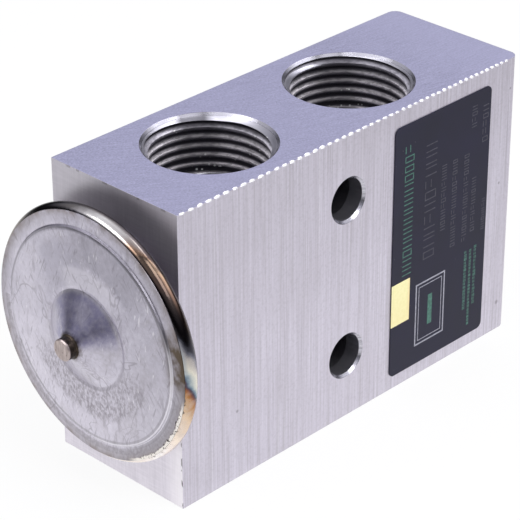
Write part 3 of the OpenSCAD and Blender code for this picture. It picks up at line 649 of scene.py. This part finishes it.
def screw_brass():
    """Turned brass: rings on the end faces, tool marks along the sides, painted shade in the socket."""
    s = Surface("brass")
    x, y, z = s.split(s.place)
    radius = s.reach(y, s.minus(z, AXIS_Z))
    rings = s.noise(1.0, 2, 0.6, s.join(s.times(radius, 3600), s.times(x, 2600), 0.0))
    stops = [(0.36, (0.50, 0.335, 0.13)), (0.64, (0.80, 0.60, 0.29))]
    colour, rough, bump = tooled(s, rings, s.noise(300, 3), stops, 0.24, 0.36)
    face_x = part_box("adjusting_screw")[1].x
    # painted shade in the socket
    socket = s.times(s.fit(x, face_x - 0.9 * MM, face_x - 0.1 * MM, 0.75, 0.0),
                     s.fit(radius, 2.9 * MM, 3.0 * MM, 1.0, 0.0))
    return s.done(s.paint(colour, (0.16, 0.10, 0.04), socket), 1.0, rough, bump)


def seal_rubber():
    s = Surface("seal_rubber")
    dust = s.noise(1700, 3)
    colour = s.ramp(dust, [(0.4, (0.012, 0.014, 0.013)), (0.8, (0.05, 0.052, 0.05))])
    return s.done(colour, 0.0, s.fit(dust, 0.3, 0.7, 0.45, 0.62), s.bump(dust, 0.01 * MM, 0.3))


def label_film():
    """Dark satin film with a light haze and dust."""
    s = Surface("label_film")
    haze = s.noise(140, 3)
    colour = s.ramp(haze, [(0.3, (0.0080, 0.0076, 0.0225)), (0.7, (0.0150, 0.0140, 0.0360))])
    dust = s.times(s.dots(900, 0.04, 0.08), s.fit(s.noise(200, 1), 0.55, 0.65))
    colour = s.paint(colour, (0.25, 0.24, 0.27), dust, 0.35)
    return s.done(colour, 0.0, s.fit(haze, 0.3, 0.7, 0.40, 0.50), s.bump(s.noise(5200, 2), 0.004 * MM, 0.4),
                  Specular_IOR_Level=0.25)


def ink(s, dark, light):
    """Colour and bump of slightly worn print."""
    colour = s.ramp(s.noise(1900, 4, 0.65), [(0.35, dark), (0.62, light)])
    return colour, s.bump(s.noise(4200, 2), 0.003 * MM, 0.3)


def printed_ink(name, dark, light):
    s = Surface(name)
    colour, bump = ink(s, dark, light)
    return s.done(colour, 0.0, 0.5, bump)


def yellow_ink():
    """Pale yellow print, warmer towards its right side and its foot."""
    s = Surface("label_yellow")
    low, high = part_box("label_yellow_field")
    colour, bump = ink(s, (0.90, 0.85, 0.42), (0.95, 0.90, 0.50))
    x, _, z = s.split(s.place)
    across = s.plus(x, s.times(s.noise(500, 2), 0.5 * MM))
    warm = s.fit(across, high.x - 0.6 * MM, high.x + 0.3 * MM, 0.0, 0.85, smooth=True)
    foot = s.fit(z, low.z, high.z, 0.30, 0.0)
    return s.done(s.paint(colour, (0.93, 0.74, 0.36), s.most(warm, foot)), 0.0, 0.5, bump)


def dress_nodes():
    """Gives every CAD node its material, and returns the plain steel."""
    steel = turned_metal("inner_steel", (0.46, 0.45, 0.47), (0.70, 0.69, 0.71), 0.30)
    head, brass, rubber = head_metal(), screw_brass(), seal_rubber()
    surfaces = {
        "valve_body": block_metal(),
        "upper_cover": head,
        "lower_cover": head,
        "rim_weld": weld_metal(),
        "charge_plug": plug_metal(),
        "sensing_rod": turned_metal("rod_aluminium", (0.60, 0.60, 0.64), (0.80, 0.80, 0.84), 0.28),
        "ball_holder": brass,
        "adjusting_screw": brass,
        "head_sealing_ring": rubber,
        "rod_sealing_ring": rubber,
        "screw_sealing_ring": rubber,
        "label": label_film(),
        "label_yellow_field": yellow_ink(),
    }
    for name, node in cad.items():
        surface = surfaces.get(name, steel)
        if not node.material_slots:
            node.data.materials.append(surface)
        for slot in node.material_slots:
            slot.link = "OBJECT"
            slot.material = surface
    return steel


# Pieces

def make_piece(name, points, faces, surface, body="block", smooth=True):
    mesh = bpy.data.meshes.new(name)
    mesh.from_pydata([tuple(p) for p in points], [], faces)
    shape = bmesh.new()
    shape.from_mesh(mesh)
    bmesh.ops.remove_doubles(shape, verts=shape.verts, dist=SAME_PLACE)
    bmesh.ops.dissolve_degenerate(shape, edges=shape.edges, dist=SAME_PLACE)
    bmesh.ops.recalc_face_normals(shape, faces=shape.faces)
    shape.to_mesh(mesh)
    shape.free()
    mesh.materials.append(surface)
    if smooth:
        mesh.shade_smooth()
        mesh.set_sharp_from_angle(angle=SHARP_TURN)
    piece = bpy.data.objects.new(name, mesh)
    bpy.context.scene.collection.objects.link(piece)
    if body:
        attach(piece, body)
    return piece


def circle(count):
    """Cosine and sine of count directions around a circle."""
    angles = [2 * math.pi * k / count for k in range(count)]
    return [(math.cos(angle), math.sin(angle)) for angle in angles]


def add_solid(points, faces, rings):
    """Adds a closed solid that runs through rings of equally many points."""
    first, count = len(points), len(rings[0])
    for ring in rings:
        points.extend(ring)
    last = len(points) - count
    for here in range(first, last, count):
        there = here + count
        for k in range(count):
            n = (k + 1) % count
            faces.append((here + k, here + n, there + n, there + k))
    faces.append(tuple(range(first, first + count)))
    faces.append(tuple(range(last, last + count)))


def make_thread(mount_name, phase):
    """The helical thread in a port, cut off by the chamfer at the mouth and run out at its end."""
    mount = mounts[mount_name]
    root = mount["dims"]["r_mm"] * MM
    length = mount["dims"]["length_mm"] * MM
    axis, side = Vector(mount["axis"]), Vector((1, 0, 0))
    across = axis.cross(side)
    mouth = Vector(mount["pos_m"]) + axis * (length / 2 + PORT_CHAMFER)
    # depths below the mouth where the ribs start, run out and end
    start = PORT_CHAMFER
    run_out = start + length
    end = run_out + 0.68 * MM
    crest_height, edge_gap = 0.78 * MM, 0.002 * MM
    segments, rows_a_side = 168, 3
    # the profile over one pitch: place in millimetres, share of the crest's height
    profile = [(0.0, 0.0), (0.22, 0.0), (0.64, 1.0), (1.06, 1.0), (THREAD_PITCH / MM, 0.0)]
    row_places = [low + (high - low) * k / rows_a_side
                  for (low, _), (high, _) in zip(profile, profile[1:]) for k in range(rows_a_side)]

    def radius_at(depth, share_of_turn):
        place = ((depth / THREAD_PITCH + share_of_turn + phase) % 1.0) * THREAD_PITCH / MM
        for (a, low), (b, high) in zip(profile, profile[1:]):
            if place <= b:
                height = low + (high - low) * (place - a) / (b - a)
                break
        radius = root - 0.01 * MM - crest_height * height
        radius = max(radius, root + PORT_CHAMFER - depth)
        return min(radius, root - 2 * edge_gap - max(0.0, depth - run_out))

    columns = []
    turns = int(end / THREAD_PITCH) + 3
    offsets = [k * THREAD_PITCH + place * MM for k in range(-1, turns) for place in row_places]
    for i, (cos, sin) in enumerate(circle(segments)):
        share = i / segments
        direction = cos * side + sin * across
        column = [mouth - axis * start + direction * (root - edge_gap)]
        for offset in offsets:
            depth = min(max(offset - (share + phase) * THREAD_PITCH, start), end)
            column.append(mouth - axis * depth + direction * radius_at(depth, share))
        column.append(mouth - axis * end + direction * (root - edge_gap - (end - run_out)))
        columns.append(column)
    # one turn further on, each row has moved by one pitch, so the last column joins the first
    # with its rows shifted by one pitch's worth of places
    count, shift = len(columns[0]), len(row_places)
    faces = []
    for i in range(segments):
        here, there = i * count, ((i + 1) % segments) * count
        step = 0 if i + 1 < segments else shift
        for j in range(count - 1):
            a, b = j, j + 1
            c = min(max(a - step, 0), count - 1) if 0 < a < count - 1 else a
            d = min(max(b - step, 0), count - 1) if 0 < b < count - 1 else b
            faces.append((here + a, here + b, there + d, there + c))
        faces.append((here + count - 1, here, there, there + count - 1))
    make_piece("thread_" + mount_name, [p for column in columns for p in column], faces,
               thread_metal(mouth.x, root, mouth.z, axis.z, phase))


def add_chip(points, faces, centre, along, out, half_length, half_width, rng):
    """Adds one small flattened, slightly irregular chip, lying along an edge."""
    across = along.cross(out)
    height, sunk, corners = 0.05 * MM, 0.02 * MM, 10
    top_length, top_width = 0.62 * half_length, 0.6 * half_width
    foot, top = [], []
    for cos, sin in circle(corners):
        spread = 1 + rng.uniform(-0.16, 0.16)
        foot.append(centre + along * (cos * half_length * spread) + across * (sin * half_width * spread)
                    - out * sunk)
        top.append(centre + along * (cos * top_length) + across * (sin * top_width) + out * height)
    add_solid(points, faces, [foot, top])


def make_edge_burr():
    """Row of bright scallops that the face mill left along the front upper edge."""
    rng = random.Random(7)
    s = Surface("burr_metal")
    colour = s.ramp(s.noise(900, 2), [(0.3, (0.92, 0.91, 0.95)), (0.7, (1.0, 1.0, 1.0))])
    surface = s.done(colour, 0.35, 0.25, s.bump(s.noise(2500, 2), 0.01 * MM, 0.3))
    points, faces = [], []
    along, out = Vector((1, 0, 0)), Vector((0, -1, 1)).normalized()
    sunk = 0.04 * MM
    x = BLOCK_LOW.x + 0.9 * MM
    while x < BLOCK_HIGH.x - 1.8 * MM:
        share = (x - BLOCK_LOW.x) / (BLOCK_HIGH.x - BLOCK_LOW.x)
        spacing = (1.75 - 0.65 * share) * MM
        half_length = spacing * rng.uniform(0.33, 0.41)
        half_width = rng.uniform(0.20, 0.27) * MM
        centre = Vector((x, FRONT_Y + sunk, TOP_Z - sunk))
        add_chip(points, faces, centre, along, out, half_length, half_width, rng)
        x += spacing * rng.uniform(0.96, 1.04)
    make_piece("edge_burr", points, faces, surface)


# The label's print is made of bars (left, foot, right, top), in millimetres from its lower left corner.

def frame_bars(left, foot, right, top, line):
    """The four bars of an empty frame."""
    return [(left, foot, right, foot + line), (left, top - line, right, top),
            (left, foot + line, left + line, top - line), (right - line, foot + line, right, top - line)]


def row_bars(rng, left, right, foot, top, step, line):
    """A row of small ticks, pairs of bars and empty frames that runs up the label."""
    bars, z = [], foot
    while z + step * 0.6 < top:
        size = step * rng.uniform(0.62, 0.74)
        kind = rng.choice(("frame", "bars", "tick", "bars"))
        if kind == "frame":
            bars += frame_bars(left, z, right, z + size, line)
        elif kind == "bars":
            bars += [(left, z, right, z + line), (left, z + size - line, right, z + size)]
        else:
            bars += [(at, z, at + line, z + size) for at in (left, (left + right) / 2)]
        z += step
    return bars


def make_label_print():
    """Rows of plain ticks, bars and frames in dull green and grey."""
    rng = random.Random(3)
    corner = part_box("label")[0]
    green = printed_ink("label_green", (0.028, 0.094, 0.074), (0.062, 0.205, 0.155))
    grey = printed_ink("label_grey", (0.022, 0.022, 0.036), (0.058, 0.056, 0.082))
    pale = printed_ink("label_pale", (0.26, 0.26, 0.31), (0.40, 0.40, 0.46))
    # each row: left, right, foot, top, step and line width
    green_rows = [
        (2.3, 4.3, 16.8, 38.5, 1.58, 0.17), (16.9, 17.5, 5.0, 15.8, 0.62, 0.16),
        (18.1, 18.6, 1.8, 15.8, 0.62, 0.16), (19.2, 19.8, 5.2, 15.6, 0.62, 0.16)]
    grey_rows = [
        (7.0, 9.5, 17.8, 37.2, 2.0, 0.18), (10.8, 11.9, 21.3, 32.9, 0.95, 0.16),
        (13.3, 14.4, 17.5, 32.6, 0.95, 0.16), (16.0, 17.1, 17.4, 32.3, 0.95, 0.16),
        (18.0, 19.0, 18.4, 27.6, 0.95, 0.16), (20.6, 21.4, 17.8, 23.1, 0.8, 0.14),
        (17.4, 18.6, 36.3, 40.5, 0.95, 0.16), (20.0, 21.3, 33.0, 40.1, 1.3, 0.18)]
    double_frame = frame_bars(5.6, 3.2, 12.4, 14.0, 0.26) + frame_bars(6.3, 3.9, 11.7, 13.3, 0.14)
    for name, ink_surface, bars in (
            ("label_rows_green", green, [bar for row in green_rows for bar in row_bars(rng, *row)]),
            ("label_rows_grey", grey, [bar for row in grey_rows for bar in row_bars(rng, *row)]),
            ("label_frame", pale, double_frame),
            ("label_bar", green, [(8.5, 6.0, 9.5, 11.2)])):
        points, faces = [], []
        for left, foot, right, top in bars:
            outline = ((left, foot), (right, foot), (right, top), (left, top))
            add_solid(points, faces, [
                [corner + Vector((across * MM, -raised, up * MM)) for across, up in outline]
                for raised in (0.0, 0.012 * MM)])
        make_piece(name, points, faces, ink_surface, smooth=False)


def make_spring(surface):
    """Finer coil in two halves: one at the ball's end, the other at the screw's end."""
    low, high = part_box("superheat_spring")
    wire, pitch = 1.0 * MM, 1.6 * MM
    # turns that lie close at each end, points around the wire and rings to a turn
    closed, sides, rings = 0.8, 14, 40
    mean = (high.z - low.z) / 2 - wire / 2
    rise = (high.x - low.x) - wire
    turns = 2 * closed + (rise - 2 * closed * wire) / pitch

    def climb(t):
        if t < closed:
            return t * wire
        if t > turns - closed:
            return rise - (turns - t) * wire
        return closed * wire + (t - closed) * pitch

    def wire_ring(t):
        """The points around the wire at t turns from the ball's end."""
        radial = Vector((0, math.sin(2 * math.pi * t), -math.cos(2 * math.pi * t)))
        centre = Vector((low.x + wire / 2 + climb(t), 0, AXIS_Z)) + radial * mean
        return [centre + radial * (wire / 2 * cos) + Vector((wire / 2 * sin, 0, 0))
                for cos, sin in circle(sides)]

    middle = turns / 2
    for name, begin, end, body, moving_x in (
            ("spring_ball_half", 0, middle, "valve_train", low.x + wire),
            ("spring_screw_half", middle, turns, "adjuster_seal", high.x - wire)):
        steps = int((end - begin) * rings)
        points, faces = [], []
        add_solid(points, faces, [wire_ring(begin + (end - begin) * i / steps) for i in range(steps + 1)])
        piece = make_piece(name, points, faces, surface, body=None)
        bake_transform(piece)
        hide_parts("superheat_spring")


def make_diaphragm(surface):
    """Copy of the diaphragm that bends between its clamped rim and the stop plate."""
    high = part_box("diaphragm")[1]
    steps, segments = 60, 96
    # radii where the disc is clamped and where its bulge is full
    clamp, inner = 14.2 * MM, 10.8 * MM
    bulge, thick = 0.4 * MM, 0.2 * MM
    radii = [high.z - AXIS_Z - 0.01 * MM, 16.0 * MM]
    radii += [clamp + (inner - clamp) * i / steps for i in range(steps + 1)]
    radii += [8 * MM, 5 * MM, 2 * MM]

    def rise(radius):
        share = min(max((clamp - radius) / (clamp - inner), 0.0), 1.0)
        return bulge * (share * share * (3 - 2 * share) + 0.14 * math.sin(math.radians(720 * share)))

    def ring(radius, layer):
        return [Vector((high.x - rise(radius) - layer, radius * cos, AXIS_Z + radius * sin))
                for cos, sin in circle(segments)]

    points, faces = [], []
    outwards = [ring(radius, 0.0) for radius in reversed(radii)]
    add_solid(points, faces, outwards + [ring(radius, thick) for radius in radii])
    piece = make_piece("diaphragm_disc", points, faces, surface, body=None)
    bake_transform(piece)
    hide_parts("diaphragm")


# Studio

def make_world():
    """A sky that is dark low down, bright at mid height and white to the camera."""
    world = bpy.data.worlds.new("studio")
    bpy.context.scene.world = world
    world.use_nodes = True
    n = Nodes(world.node_tree)
    height = n.split(n.node("TexCoord").outputs["Generated"])[2]
    sky = n.ramp(height, [
        (0.0, (0.03, 0.03, 0.035)), (0.20, (0.04, 0.04, 0.05)), (0.34, (0.42, 0.42, 0.48)),
        (0.50, (0.95, 0.95, 1.0)), (0.75, (0.85, 0.85, 0.90)), (1.0, (0.62, 0.62, 0.66))])
    light = n.node("Background", sky).outputs[0]
    n.node("OutputWorld", n.white_to_eye(light, 1.0))


def make_floor():
    """A floor that the camera sees nearly white, with a faint shadow of the object."""
    below = 0.02 * MM
    bpy.ops.mesh.primitive_plane_add(size=6.0, location=(0, 0, -below))
    floor = bpy.context.object
    floor.name = "floor"
    s = Surface("floor_pale")
    diffuse = s.node("BsdfDiffuse", (0.86, 0.86, 0.87, 1)).outputs[0]
    # a reflected floor is white near the object and falls off further out
    away = s.node("VectorMath", s.place, operation="LENGTH").outputs["Value"]
    levels = ((0.04, 1.0), (0.22, 0.62), (0.7, 0.08))
    fall = s.ramp(away, [(at, (level, level, level)) for at, level in levels])
    glow = s.node("Emission", fall).outputs[0]
    rays = s.node("LightPath").outputs
    mirrored = s.times(s.most(rays["Is Glossy Ray"], rays["Is Transmission Ray"]), 0.95)
    reflected = s.node("MixShader", mirrored, diffuse, glow).outputs[0]
    s.node("OutputMaterial", s.white_to_eye(reflected, 0.9))
    floor.data.materials.append(s.material)


def make_lamps():
    """Three soft boxes that aim at the middle of the valve."""
    aim = Vector((0, 0, 0.024))
    distance = 0.60
    for name, way, width, height, power in (
            ("front_box", (0.0, -0.59, 0.80), 0.34, 0.34, 1.9),
            ("head_box", (-0.66, 0.25, 0.70), 0.42, 0.20, 0.9),
            ("high_box", (0.63, -0.12, 0.78), 0.22, 0.22, 0.35)):
        data = bpy.data.lights.new(name, "AREA")
        data.shape = "RECTANGLE"
        data.size = width
        data.size_y = height
        data.energy = power
        lamp = bpy.data.objects.new(name, data)
        bpy.context.scene.collection.objects.link(lamp)
        way = Vector(way).normalized()
        lamp.matrix_world = (Matrix.Translation(aim + way * distance)
                             @ way.to_track_quat("Z", "Y").to_matrix().to_4x4())


set_camera()
steel = dress_nodes()
for port, thread_phase in (("suction_port_top", 0.06), ("outlet_port", 0.465),
                           ("suction_port_bottom", 0.6), ("inlet_port", 0.1)):
    make_thread(port, thread_phase)
make_edge_burr()
make_label_print()
make_spring(steel)
make_diaphragm(steel)
bpy.context.scene.view_settings.view_transform = "Standard"
make_world()
make_floor()
make_lamps()
